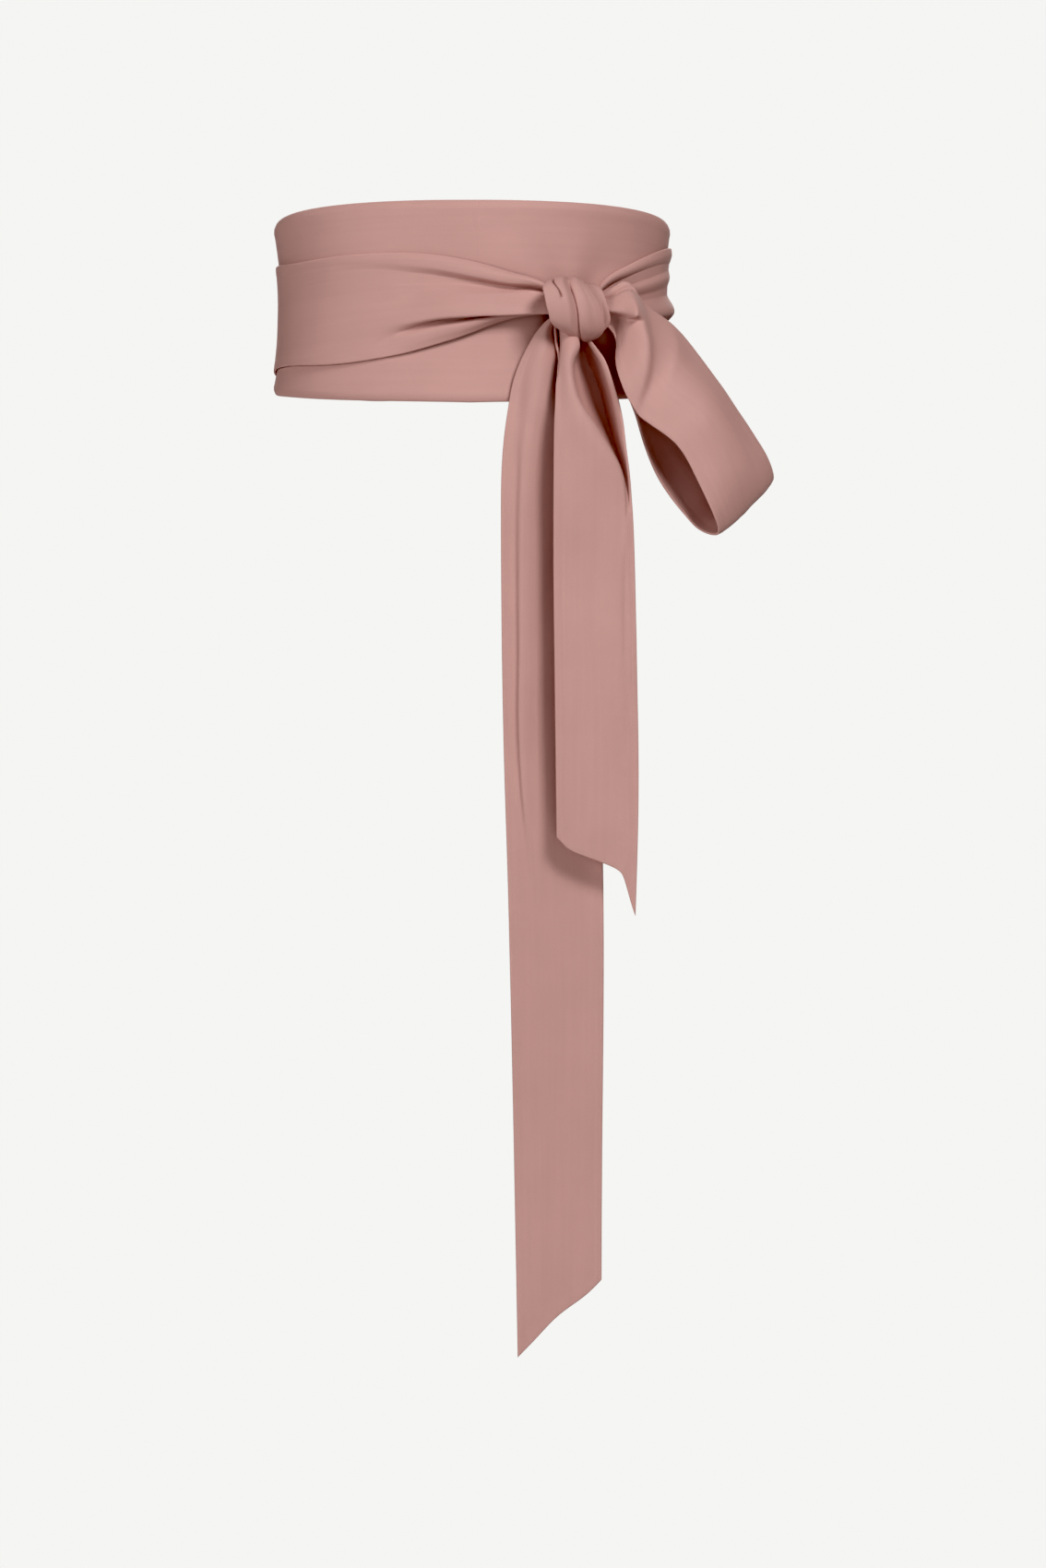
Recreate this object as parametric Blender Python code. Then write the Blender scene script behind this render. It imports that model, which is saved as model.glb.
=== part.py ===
"""A wide wrap belt tied at the front in a half bow, in the hollow form in which it is worn.

Sizes are in millimetres and angles in degrees; the meshes are in metres. X points to the viewer's right, Y
away from the viewer and Z up. The origin is the middle of the waist, at half the height of the panel's front.
"""

import math

import bpy
import numpy as np

MM = 0.001

# The waist that the belt is tied around: an oval, narrowest near the middle of the panel
WAIST_HALF_WIDTH = 128.6
WAIST_HALF_DEPTH = 93.0
WAIST_LEVEL = 4.0
WAIST_FLARE_SIDE = 4.9
WAIST_FLARE_FRONT = 3.0
WAIST_FLARE_REACH = 55.0

# The cloth: two layers of crepe pressed flat. Pieces that lie on each other keep a gap, and seams a smaller
# one.
PANEL_WALL = 1.5
TIE_WALL = 1.4
SEAM_GAP = 0.3
LAYER_GAP = 0.7
OVER_PANEL = PANEL_WALL + LAYER_GAP

# The knot's middle on the waist: the angle from the front, the height, and how far out from the waist
KNOT_ANGLE = 30.0
KNOT_LEVEL = -5.6
KNOT_OUT = 18.5


def smooth(share):
    """0 below 0, 1 above 1, and a soft step between them."""
    share = np.clip(share, 0.0, 1.0)
    return share * share * (3 - 2 * share)


def table(names, *rows):
    """A table with named columns: each name gives its column as an array."""
    return dict(zip(names.split(), np.array(rows, float).T))


def curve(where, values, at):
    """The natural cubic spline through (where, values), read at the places in at."""
    order = np.argsort(where)
    x, y = np.asarray(where, float)[order], np.asarray(values, float)[order]
    h = np.diff(x)
    slope = np.diff(y) / h
    n = len(x)
    system = np.eye(n)
    right = np.zeros(n)
    for i in range(1, n - 1):
        system[i, i - 1 : i + 2] = h[i - 1], 2 * (h[i - 1] + h[i]), h[i]
        right[i] = 6 * (slope[i] - slope[i - 1])
    bend = np.linalg.solve(system, right)
    at = np.clip(np.asarray(at, float), x[0], x[-1])
    i = np.clip(np.searchsorted(x, at) - 1, 0, n - 2)
    a, b = x[i + 1] - at, at - x[i]
    cubic = (bend[i] * a**3 + bend[i + 1] * b**3) / (6 * h[i])
    return cubic + (y[i] / h[i] - bend[i] * h[i] / 6) * a + (y[i + 1] / h[i] - bend[i + 1] * h[i] / 6) * b


def folds(rows, across, along):
    """How far the folds push the cloth out, and how far down, at each point of the grid.

    Each row is one fold. Its line runs from share_a of the width, where along is start, to share_b, where it
    has faded out at stop. Its section is a bell, half_width wide to each side; a negative push is a valley.
    """
    out, down = np.zeros(np.broadcast(across, along).shape), np.zeros(np.broadcast(across, along).shape)
    for share_a, share_b, start, stop, half_width, push, drop in zip(*rows.values()):
        way = (along - start) / (stop - start)
        line = share_a + (share_b - share_a) * np.clip(way, 0, 1)
        bell = np.clip(1 - ((across - line) / half_width) ** 2, 0, None) ** 2
        strength = bell * (1 - smooth(way))
        out, down = out + push * strength, down + drop * strength
    return out, down


def unit(vector):
    """The vector at length 1, along its last axis."""
    return vector / np.linalg.norm(vector, axis=-1, keepdims=True)


def waist(angle, level, out):
    """Points at an angle from the front, at a level, and this far out from the waist's surface."""
    rise = ((level - WAIST_LEVEL) / WAIST_FLARE_REACH) ** 2
    wide = WAIST_HALF_WIDTH + WAIST_FLARE_SIDE * rise
    deep = WAIST_HALF_DEPTH + WAIST_FLARE_FRONT * rise
    turn = np.radians(angle)
    normal = unit(np.stack([np.sin(turn) * deep, -np.cos(turn) * wide, np.zeros(turn.shape)], -1))
    surface = np.stack([np.sin(turn) * wide, -np.cos(turn) * deep, level], -1)
    return surface + normal * np.asarray(out)[..., None]


def sheet_normals(points):
    """Outward unit normals of a grid. Its rows follow each other to the right and its columns run down."""
    return unit(np.cross(np.gradient(points, axis=1), np.gradient(points, axis=0)))


def add_mesh(name, points, faces):
    """A smooth shaded solid of rose crepe, sharp only at its rims."""
    mesh = bpy.data.meshes.new(name)
    mesh.from_pydata((points * MM).tolist(), [], faces)
    mesh.materials.append(ROSE_CREPE)
    mesh.shade_smooth()
    mesh.set_sharp_from_angle(angle=math.radians(50))
    bpy.context.scene.collection.objects.link(bpy.data.objects.new(name, mesh))


def add_wall(name, inner, outer):
    """One closed wall between two grids of points, with its four rims."""
    rows, columns = inner.shape[:2]
    below = rows * columns
    faces = []
    for i in range(rows - 1):
        for j in range(columns - 1):
            a = i * columns + j
            quad = [a, a + 1, a + 1 + columns, a + columns]
            faces.append(quad)
            faces.append([v + below for v in reversed(quad)])
    top = list(range(columns))
    far = list(range(columns - 1, below, columns))
    bottom = list(range(below - 1, below - 1 - columns, -1))
    near = list(range(below - columns, -1, -columns))
    for side in (top, far, bottom, near):
        for a, b in zip(side, side[1:]):
            faces.append([b, a, a + below, b + below])
    add_mesh(name, np.concatenate([outer.reshape(-1, 3), inner.reshape(-1, 3)]), faces)


def add_cloth(name, points, wall):
    """A wall of even thickness with the given grid as its middle."""
    half = sheet_normals(points) * wall / 2
    add_wall(name, points - half, points + half)


def crepe(name, colour, roughness):
    material = bpy.data.materials.new(name)
    material.use_nodes = True
    surface = material.node_tree.nodes["Principled BSDF"]
    surface.inputs["Base Color"].default_value = (*colour, 1.0)
    surface.inputs["Roughness"].default_value = roughness
    surface.inputs["Metallic"].default_value = 0.0
    return material


for old in list(bpy.data.objects):
    bpy.data.objects.remove(old)
ROSE_CREPE = crepe("rose crepe", (0.50, 0.29, 0.25), 0.62)

# The panel is highest at the front and lower at the sides, and tapers at both ends to the width of a tie. Its
# table holds for both sides.
PANEL_END = 126.0
SEAM_TURN = math.degrees(SEAM_GAP / WAIST_HALF_WIDTH)
PANEL_SHAPE = table(
    "angle top bottom",
    (0, 66.4, -66.6),
    (30, 66.6, -64.2),
    (54, 65.7, -60.2),
    (68, 64.2, -57.2),
    (80, 62.2, -54.6),
    (90, 60.8, -51.5),
    (100, 60.4, -46.5),
    (112, 60.8, -34.0),
    (120, 61.2, -22.5),
    (PANEL_END, 61.5, -12.0),
)
PANEL_ROWS, PANEL_COLUMNS = 56, 7


def panel_grid(out):
    """The panel's points at one distance out from the waist, from its left end to its right end."""
    across = np.linspace(0, 1, PANEL_COLUMNS)[None, :]
    angle = np.linspace(-PANEL_END, PANEL_END, PANEL_ROWS)[:, None]
    top = curve(PANEL_SHAPE["angle"], PANEL_SHAPE["top"], np.abs(angle))
    bottom = curve(PANEL_SHAPE["angle"], PANEL_SHAPE["bottom"], np.abs(angle))
    level = top + (bottom - top) * across
    return waist(angle + 0 * level, level, out + 0 * level)


add_wall("panel", panel_grid(0.0), panel_grid(PANEL_WALL))

# The knot's own axes: across the front of the waist, out from it, and up
TURN = math.radians(KNOT_ANGLE)
KNOT_NORMAL = unit(np.array([math.sin(TURN) * WAIST_HALF_DEPTH, -math.cos(TURN) * WAIST_HALF_WIDTH, 0.0]))
KNOT_ACROSS = np.array([-KNOT_NORMAL[1], KNOT_NORMAL[0], 0.0])
UP = np.array([0.0, 0.0, 1.0])
KNOT_MIDDLE = waist(np.array(KNOT_ANGLE), np.array(KNOT_LEVEL), np.array(KNOT_OUT))


def at_knot(across, out, up):
    """Points measured from the knot's middle: across the waist, out from it and up."""
    across, out, up = (part[..., None] for part in np.broadcast_arrays(across, out, up))
    return KNOT_MIDDLE + across * KNOT_ACROSS + out * KNOT_NORMAL + up * UP


# The knot's hidden layers are one rounded core, on which every strand ends. It is a blunt egg that lies
# across the waist: its sections are ellipses, and its two ends are flatter than an egg's.
CORE_SHIFT = -0.5
CORE_ACROSS = 19.0
CORE_OUT = 10.5
CORE_UP = 14.6
CORE_BLUNTNESS = 3.0
CORE_SEGMENTS, CORE_RINGS = 28, 16
STRAND_GAP = 0.6


def core_fit(points, gap):
    """How far points are from the core's middle, where 1 is its surface grown by a gap."""
    from_middle = points - KNOT_MIDDLE
    across = np.abs(from_middle @ KNOT_ACROSS - CORE_SHIFT) / (CORE_ACROSS + gap)
    round_it = np.hypot(from_middle @ KNOT_NORMAL / (CORE_OUT + gap), from_middle @ UP / (CORE_UP + gap))
    return (across**CORE_BLUNTNESS + round_it**CORE_BLUNTNESS) ** (1 / CORE_BLUNTNESS)


def add_core():
    """Hoops of points from the core's left tip to its right tip, joined by quads and closed by two fans."""
    turn = np.arange(CORE_SEGMENTS) * 2 * math.pi / CORE_SEGMENTS
    share = np.sin(np.linspace(-math.pi / 2, math.pi / 2, CORE_RINGS + 1)[1:-1])[:, None]
    size = (1 - np.abs(share) ** CORE_BLUNTNESS) ** (1 / CORE_BLUNTNESS)
    across = CORE_SHIFT + CORE_ACROSS * share
    hoops = at_knot(across + 0 * turn, CORE_OUT * size * np.cos(turn), CORE_UP * size * np.sin(turn))
    tips = at_knot(CORE_SHIFT + np.array([-CORE_ACROSS, CORE_ACROSS]), np.zeros(2), np.zeros(2))
    last = (len(share) - 1) * CORE_SEGMENTS
    left_tip = last + CORE_SEGMENTS
    right_tip = left_tip + 1
    faces = []
    for j in range(CORE_SEGMENTS):
        k = (j + 1) % CORE_SEGMENTS
        faces.append([left_tip, j, k])
        faces.append([right_tip, last + k, last + j])
        for a in range(0, last, CORE_SEGMENTS):
            faces.append([a + j + CORE_SEGMENTS, a + k + CORE_SEGMENTS, a + k, a + j])
    add_mesh("knot_core", np.concatenate([hoops.reshape(-1, 3), tips]), faces)


add_core()


def strip_shares(rows, columns, crowding):
    """A strip's shares along and across. Crowding above 1 packs its rows near the start."""
    return np.linspace(0, 1, rows)[:, None] ** crowding, np.linspace(0, 1, columns)[None, :]


def seated(surface, along, across, both_ends=False):
    """The surface's grid, with each column cut off where it comes out of the core."""
    fine = np.linspace(0, 1, 801)[:, None]
    inside = core_fit(surface(fine, across), TIE_WALL / 2 + STRAND_GAP) < 1
    first = fine < 0.5
    start = np.max(np.where(inside & first, fine, 0.0), axis=0)
    stop = np.min(np.where(inside & ~first, fine, 1.0), axis=0) if both_ends else 1.0
    return surface(start + (stop - start) * along, across)


# The two wraps. A tie is laid round the waist by its levels and its distance from it at each angle.
def wrap_surface(shape, fold_rows, along, across):
    """A tie laid round the waist, from the knot to its seam. Its folds deepen towards the knot."""
    angle = shape["angle"][0] + (shape["angle"][-1] - shape["angle"][0]) * along
    top, bottom, out = (curve(shape["angle"], shape[name], angle) for name in ("top", "bottom", "out"))
    push, drop = folds(fold_rows, across, angle)
    level = top + (bottom - top) * across - drop
    lift = np.maximum(out + push, np.minimum(out, OVER_PANEL))
    return waist(angle + 0 * level, level, lift + TIE_WALL / 2)


# The ties pass each other at the back. To the right of the crossing the right wrap lies outside, to its left
# the left wrap does, and on the crossing itself they lie edge to edge.
CROSSING_LEVEL = 4.0
CROSSING_GAP = 1.0

# The left wrap: from the knot over the left side and across the back to its seam at the panel's right end.
# Its angles are turned by a whole turn, so that the left side is at 270 and the back at 180.
LEFT_WRAP_SHAPE = table(
    "angle top bottom out",
    (387, 1.0, -8.5, 13.0),
    (382, 6.5, -9.0, 10.0),
    (375.5, 15.0, -9.7, 6.0),
    (365, 23.6, -20.0, 3.2),
    (352, 30.0, -31.0, OVER_PANEL),
    (335, 32.1, -39.6, OVER_PANEL),
    (319, 32.7, -41.5, OVER_PANEL),
    (295, 34.3, -40.0, OVER_PANEL),
    (270, 33.5, -38.0, OVER_PANEL),
    (245, 23.0, -43.5, OVER_PANEL),
    (227, 11.5, -47.5, OVER_PANEL),
    (215, CROSSING_LEVEL, -49.0, OVER_PANEL),
    (205, CROSSING_LEVEL, -48.5, OVER_PANEL / 2),
    (195, CROSSING_LEVEL, -46.0, 0.0),
    (180, 14.0, -38.0, 0.0),
    (165, 30.0, -27.0, 0.0),
    (148, 48.0, -17.0, 0.0),
    (PANEL_END + SEAM_TURN, 61.5, -12.0, 0.0),
)
LEFT_WRAP_FOLDS = table(
    "share_a share_b start stop half_width push drop",
    (0.12, 0.14, 387, 322, 0.17, 4.5, 0.0),
    (0.32, 0.36, 387, 325, 0.14, -2.4, 0.0),
    (0.62, 0.56, 387, 326, 0.29, 11.0, 3.0),
    (0.93, 0.72, 387, 330, 0.12, -2.0, 0.0),
)


def left_wrap(along, across):
    return wrap_surface(LEFT_WRAP_SHAPE, LEFT_WRAP_FOLDS, along, across)


along, across = strip_shares(60, 12, 1.15)
add_cloth("left_wrap", seated(left_wrap, along, across)[::-1], TIE_WALL)

# The right wrap: from the knot round the right side, and over the other tie at the back, to its seam at the
# panel's left end.
RIGHT_WRAP_SHAPE = table(
    "angle top bottom out",
    (36, 6.0, -4.0, 11.0),
    (41, 16.0, -6.0, 6.0),
    (49, 24.5, -8.0, 3.0),
    (63, 37.0, -8.0, OVER_PANEL),
    (90, 47.0, -4.0, OVER_PANEL),
    (110, 48.5, -6.0, OVER_PANEL),
    (135, 49.5, -7.0, OVER_PANEL),
    (160, 51.0, -6.0, OVER_PANEL),
    (180, 53.0, -2.0, OVER_PANEL),
    (195, 56.0, CROSSING_LEVEL + CROSSING_GAP, OVER_PANEL),
    (205, 58.0, CROSSING_LEVEL + CROSSING_GAP, OVER_PANEL / 2),
    (215, 60.0, CROSSING_LEVEL + CROSSING_GAP, 0.0),
    (223, 61.0, -1.0, 0.0),
    (360 - PANEL_END - SEAM_TURN, 61.5, -12.0, 0.0),
)
RIGHT_WRAP_FOLDS = table(
    "share_a share_b start stop half_width push drop",
    (0.20, 0.24, 36, 120, 0.22, 2.0, 0.0),
    (0.76, 0.80, 36, 135, 0.24, 7.0, 0.0),
)


def right_wrap(along, across):
    return wrap_surface(RIGHT_WRAP_SHAPE, RIGHT_WRAP_FOLDS, along, across)


along, across = strip_shares(44, 11, 1.15)
add_cloth("right_wrap", seated(right_wrap, along, across), TIE_WALL)

# The knot's two visible turns are walls round the core. The front turn covers the knot and slants to the
# right on its way down. One deep crease splits it into two lobes, and a short one nicks its top left. The
# side turn shows as a narrow lobe to the right of the front one, which overlaps it.
KNOT_WALL = 1.8
CREASE_FADE = 0.9
TUCK_POWER = 4
FRONT_OUT, FRONT_UP = 17.4, 21.4
FRONT_TUCKS = 4.8, 1.8
FRONT_TURN = table(
    "turn left right",
    (140, -16, -1),
    (90, -21, -1),
    (50, -29.5, 1),
    (24, -30, 4.5),
    (0, -29, 8.5),
    (-20, -27, 11),
    (-40, -24, 13),
    (-60, -16, 12.5),
    (-82, -6, 9),
)
FRONT_CREASES = table(
    "share_a share_b start stop half_width push drop",
    (0.68, 0.44, 60, -100, 0.20, -4.6, 0.0),
    (0.25, 0.26, 75, 5, 0.13, -2.6, 0.0),
)
SIDE_OUT, SIDE_UP = 12.5, 16.8
SIDE_TUCKS = 0.0, 0.4
SIDE_TURN = table(
    "turn left right",
    (130, -4, 7),
    (90, -2, 9),
    (50, 0, 12.5),
    (0, 4, 15.5),
    (-30, 6, 17.5),
    (-60, 4, 14),
    (-80, 1, 9),
)
SIDE_CREASES = table(
    "share_a share_b start stop half_width push drop",
    (0.62, 0.62, 60, -100, 0.25, -0.6, 0.0),
)


def knot_turn(shape, creases, out, up, tucks, rows, columns):
    """A turn of the tie over the knot: a band of ellipse, from over the top, down the front and under.

    The table gives its left and right edge at each turn angle, from 90 at the top to -90 below. Both edges
    tuck in towards the core, and the creases fade out above and below.
    """
    across = np.linspace(0, 1, rows)[:, None]
    turn = np.linspace(shape["turn"][0], shape["turn"][-1], columns)[None, :]
    left, right = (curve(shape["turn"], shape[name], turn) for name in ("left", "right"))
    grow, _ = folds(creases, across, turn + 0 * across)
    angle = np.radians(turn)
    grow = grow * np.sqrt(np.clip(np.cos(CREASE_FADE * angle), 0, 1))
    size = grow - tucks[0] * (1 - across) ** TUCK_POWER - tucks[1] * across**TUCK_POWER
    return at_knot(left + (right - left) * across, (out + size) * np.cos(angle), (up + size) * np.sin(angle))


front = knot_turn(FRONT_TURN, FRONT_CREASES, FRONT_OUT, FRONT_UP, FRONT_TUCKS, rows=17, columns=24)
side = knot_turn(SIDE_TURN, SIDE_CREASES, SIDE_OUT, SIDE_UP, SIDE_TUCKS, rows=7, columns=20)
add_cloth("knot_front", front, KNOT_WALL)
add_cloth("knot_side", side, KNOT_WALL)

# The loop: one strip, out of the knot and to the right and down, round its end, and back behind itself. Each
# row gives the places of its left and right edge, how far its middle bulges along the loop's normal, and how
# far it reaches out beyond its corners along the loop's length.
LOOP_NORMAL = np.array([0.479, -0.799, 0.318])
LOOP_LENGTHWAYS = np.array([0.554, 0.0, -0.833])
LOOP_CORNERS = 4
LOOP_ROWS = table(
    "left_x left_y left_z right_x right_y right_z bulge reach",
    (84, -97, -13, 83, -94, 4, 0, 0),
    (92.5, -95.5, -17, 90.5, -92.5, 7, 3, 0),
    (96.5, -101, -24, 99, -90, 13, 6, 0),
    (95.8, -109, -37, 111, -87, 5, 9, 0),
    (98, -113.5, -54, 131, -81.5, -12, 10, 0),
    (109, -115, -75.5, 150, -81, -34, 8, 0),
    (129.6, -115, -99, 168, -81, -58, 7, 0),
    (145, -113, -122, 187, -80, -87, 5, 0),
    (156.5, -108, -145, 198, -76, -105, 2, 1.5),
    (159, -98, -153.5, 200, -67, -115, 0, 2.5),
    (152, -90, -151, 193.5, -59, -111, -2, 1.5),
    (142.5, -88, -142, 184, -58, -99, -3, 0),
    (127.5, -88, -123, 168, -57, -78, -5, 0),
    (115.5, -91, -98.5, 150, -61, -55, -5, 0),
    (108, -95, -74, 133, -68, -32, -4, 0),
    (99, -97, -48, 116, -76, -11, -2, 0),
    (94, -93, -22, 99, -84, 4, 0, 0),
    (84, -93, -11, 84, -91, 2, 0, 0),
)
LOOP_FOLDS = table(
    "share_a share_b start stop half_width push drop",
    (0.34, 0.45, 0, 0.22, 0.26, 5.0, 0.0),
    (0.66, 0.75, 0, 0.26, 0.20, -3.0, 0.0),
)


def loop(along, across):
    """The strip between its two edge lines, bulged by a half wave across. Its end has rounded corners."""
    rows = LOOP_ROWS
    middle = np.stack([rows["left_" + axis] + rows["right_" + axis] for axis in "xyz"], -1) / 2
    steps = np.linalg.norm(np.diff(middle, axis=0), axis=-1)
    travel = np.concatenate([[0], np.cumsum(steps)]) / np.sum(steps)
    left, right = (
        np.stack([curve(travel, rows[side + axis], along) for axis in "xyz"], -1)
        for side in ("left_", "right_")
    )
    push, _ = folds(LOOP_FOLDS, across, along + 0 * across)
    bulge = curve(travel, rows["bulge"], along) * np.sin(math.pi * across) + push
    reach = curve(travel, rows["reach"], along) * (1 - np.abs(2 * across - 1) ** LOOP_CORNERS)
    strip = left + (right - left) * across[..., None]
    return strip + LOOP_NORMAL * bulge[..., None] + LOOP_LENGTHWAYS * reach[..., None]


along, across = strip_shares(48, 9, 1.0)
add_cloth("loop", seated(loop, along, across, both_ends=True)[::-1], TIE_WALL)


# The two tails hang from the knot.
def tail_surface(rows, ends, crispness, along, across):
    """A hanging tail. Three lines run down it: its left edge, its main fold and its right edge.

    Each line is a curve through its places at the table's levels. The section between them is a mix of a
    parabola through the three and two straight sides, which make a crisp fold. Each column ends at its own
    level, so the tail's end can slant.
    """
    level = rows["level"][0] + (ends[0] + (ends[1] - ends[0]) * across - rows["level"][0]) * along
    parabola = {
        "left_": (1 - across) * (1 - 2 * across),
        "fold_": 4 * across * (1 - across),
        "right_": across * (2 * across - 1),
    }
    straight = {
        "left_": np.clip(1 - 2 * across, 0, 1),
        "fold_": 1 - np.abs(2 * across - 1),
        "right_": np.clip(2 * across - 1, 0, 1),
    }
    x, y = (
        sum(
            (parabola[line] * (1 - crispness) + straight[line] * crispness)
            * curve(rows["level"], rows[line + axis], level)
            for line in parabola
        )
        for axis in "xy"
    )
    return np.stack([x, y, level], -1)


# The long tail comes out below the left wrap, fans out over the panel and hangs straight down. Its end slants
# up to the right.
LONG_TAIL_ENDS = -694.0, -643.0
LONG_TAIL_CRISPNESS = 0.0
LONG_TAIL_ROWS = table(
    "level left_x left_y fold_x fold_y right_x right_y",
    (-5, 62, -99, 65, -99, 67, -97),
    (-14, 52, -101, 57, -101, 61, -98),
    (-28, 39.5, -99, 47, -103, 54, -97),
    (-45, 31, -99, 42, -105, 54.5, -97),
    (-70, 25.4, -100.5, 40, -106, 58, -97.5),
    (-95, 21.5, -100, 41, -106, 62, -99),
    (-140, 20, -100, 45, -103, 70, -101),
    (-220, 20.5, -100, 50, -99, 80, -101),
    (-320, 22.5, -100, 54, -101, 86, -99),
    (-420, 25.5, -100, 56.5, -99, 87.5, -100),
    (-560, 28.5, -100, 57.5, -101, 86.5, -99),
    (-694, 31, -100, 58, -100, 86, -100),
)

# The short tail hangs in front of it, from a deep fold below the knot, and its end slants down to the right.
SHORT_TAIL_ENDS = -352.5, -404.0
SHORT_TAIL_CRISPNESS = 0.6
SHORT_TAIL_ROWS = table(
    "level left_x left_y fold_x fold_y right_x right_y",
    (-14, 64, -99, 68, -97, 72, -97),
    (-27, 60.5, -101, 68, -92, 76, -96),
    (-45, 57, -109, 73, -93, 92, -107),
    (-70, 55.5, -115, 78, -99, 98, -114),
    (-95, 54.5, -117, 87, -104, 103, -115),
    (-125, 54.3, -116, 91, -110, 105.5, -114),
    (-170, 54.3, -114, 84, -114, 107.5, -112),
    (-240, 55, -114, 82, -115, 109, -112),
    (-320, 56, -114, 83, -112, 110, -114),
    (-404, 57, -114, 83, -114, 108, -113),
)


def long_tail(along, across):
    return tail_surface(LONG_TAIL_ROWS, LONG_TAIL_ENDS, LONG_TAIL_CRISPNESS, along, across)


def short_tail(along, across):
    return tail_surface(SHORT_TAIL_ROWS, SHORT_TAIL_ENDS, SHORT_TAIL_CRISPNESS, along, across)


for name, tail, rows, crowding in (("long_tail", long_tail, 44, 1.6), ("short_tail", short_tail, 34, 1.4)):
    along, across = strip_shares(rows, 9, crowding)
    add_cloth(name, seated(tail, along, across).swapaxes(0, 1), TIE_WALL)
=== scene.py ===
"""A wide wrap belt of rose crepe, tied in a half bow and keeping the round form in which it is worn.

Shapes are worked out in millimetres and put into their meshes in metres. X points to the viewer's right, Y
away from the viewer and Z up, and the origin is the middle of the waist.
"""

import math

import bpy
import numpy as np
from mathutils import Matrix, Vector


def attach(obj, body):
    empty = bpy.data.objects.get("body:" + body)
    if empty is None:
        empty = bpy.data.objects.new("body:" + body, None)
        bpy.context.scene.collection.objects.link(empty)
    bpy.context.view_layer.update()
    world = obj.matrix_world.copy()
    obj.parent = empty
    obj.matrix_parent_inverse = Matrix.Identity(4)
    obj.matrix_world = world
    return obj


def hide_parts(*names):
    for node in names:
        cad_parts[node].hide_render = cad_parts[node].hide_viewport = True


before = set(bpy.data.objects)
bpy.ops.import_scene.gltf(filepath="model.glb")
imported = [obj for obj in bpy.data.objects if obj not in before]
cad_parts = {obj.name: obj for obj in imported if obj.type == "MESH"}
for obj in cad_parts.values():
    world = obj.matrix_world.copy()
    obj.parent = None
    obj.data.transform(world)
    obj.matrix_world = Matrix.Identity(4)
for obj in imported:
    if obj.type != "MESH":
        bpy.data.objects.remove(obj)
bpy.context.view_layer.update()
scene = bpy.context.scene

# The view: plain colours, with a slightly raised black point that deepens the folds' shadows.
scene.view_settings.view_transform = "Standard"
BLACK = 0.045
scene.view_settings.use_curve_mapping = True
scene.view_settings.curve_mapping.black_level = (BLACK, BLACK, BLACK)

# The camera stands level in front of the belt, 2.8 m away, with a long lens.
SENSOR_WIDTH, LENS_LENGTH = 36.0, 94.43
CAMERA_PLACE = 0.0345, -2.8, -0.3175
CAMERA_TURN = math.radians(90), 0.0, 0.0
camera = bpy.data.objects.new("camera", bpy.data.cameras.new("camera"))
camera.data.sensor_width = SENSOR_WIDTH
camera.data.lens = LENS_LENGTH
camera.location = CAMERA_PLACE
camera.rotation_euler = CAMERA_TURN
scene.collection.objects.link(camera)
scene.camera = camera

# The studio: a pale floor well below the belt that fades into an even pale background, which gives a weak
# light of its own.
FLOOR_LEVEL = -1.5
FLOOR_RADIUS = 3.0
FLOOR_SIDES = 96
FLOOR_COLOUR = (0.80, 0.80, 0.79, 1.0)
FLOOR_ROUGHNESS = 0.9
FLOOR_FADE = 0.4, 0.97
PALE = (0.9172, 0.9169, 0.9006, 1.0)
AMBIENT, AMBIENT_COLOUR = 0.02, (1.0, 0.98, 0.96, 1.0)


def floor_mesh():
    """A flat disc: one ring of points at the floor's radius."""
    turn = np.linspace(0, 2 * math.pi, FLOOR_SIDES + 1)[:-1]
    ring = np.stack([FLOOR_RADIUS * np.cos(turn), FLOOR_RADIUS * np.sin(turn), FLOOR_LEVEL + 0 * turn], -1)
    mesh = bpy.data.meshes.new("floor")
    mesh.from_pydata(ring.tolist(), [], [list(range(len(turn)))])
    return mesh


def floor_finish():
    """Matt and pale, and clear towards the rim.

    Its cover falls from 1 to 0 between two distances from the middle, given by FLOOR_FADE as shares of the
    radius.
    """
    material = bpy.data.materials.new("pale floor")
    material.use_nodes = True
    nodes, links = material.node_tree.nodes, material.node_tree.links
    shader = nodes["Principled BSDF"]
    shader.inputs["Base Color"].default_value = FLOOR_COLOUR
    shader.inputs["Roughness"].default_value = FLOOR_ROUGHNESS
    place = nodes.new("ShaderNodeTexCoord")
    flat = nodes.new("ShaderNodeMapping")
    flat.inputs["Scale"].default_value = (1.0, 1.0, 0.0)
    distance = nodes.new("ShaderNodeVectorMath")
    distance.operation = "LENGTH"
    cover = nodes.new("ShaderNodeMapRange")
    cover.interpolation_type = "SMOOTHSTEP"
    cover.inputs["From Min"].default_value = FLOOR_FADE[0] * FLOOR_RADIUS
    cover.inputs["From Max"].default_value = FLOOR_FADE[1] * FLOOR_RADIUS
    cover.inputs["To Min"].default_value = 1.0
    cover.inputs["To Max"].default_value = 0.0
    links.new(place.outputs["Object"], flat.inputs["Vector"])
    links.new(flat.outputs["Vector"], distance.inputs[0])
    links.new(distance.outputs["Value"], cover.inputs["Value"])
    links.new(cover.outputs["Result"], shader.inputs["Alpha"])
    return material


floor = bpy.data.objects.new("floor", floor_mesh())
floor.data.materials.append(floor_finish())
scene.collection.objects.link(floor)

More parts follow.
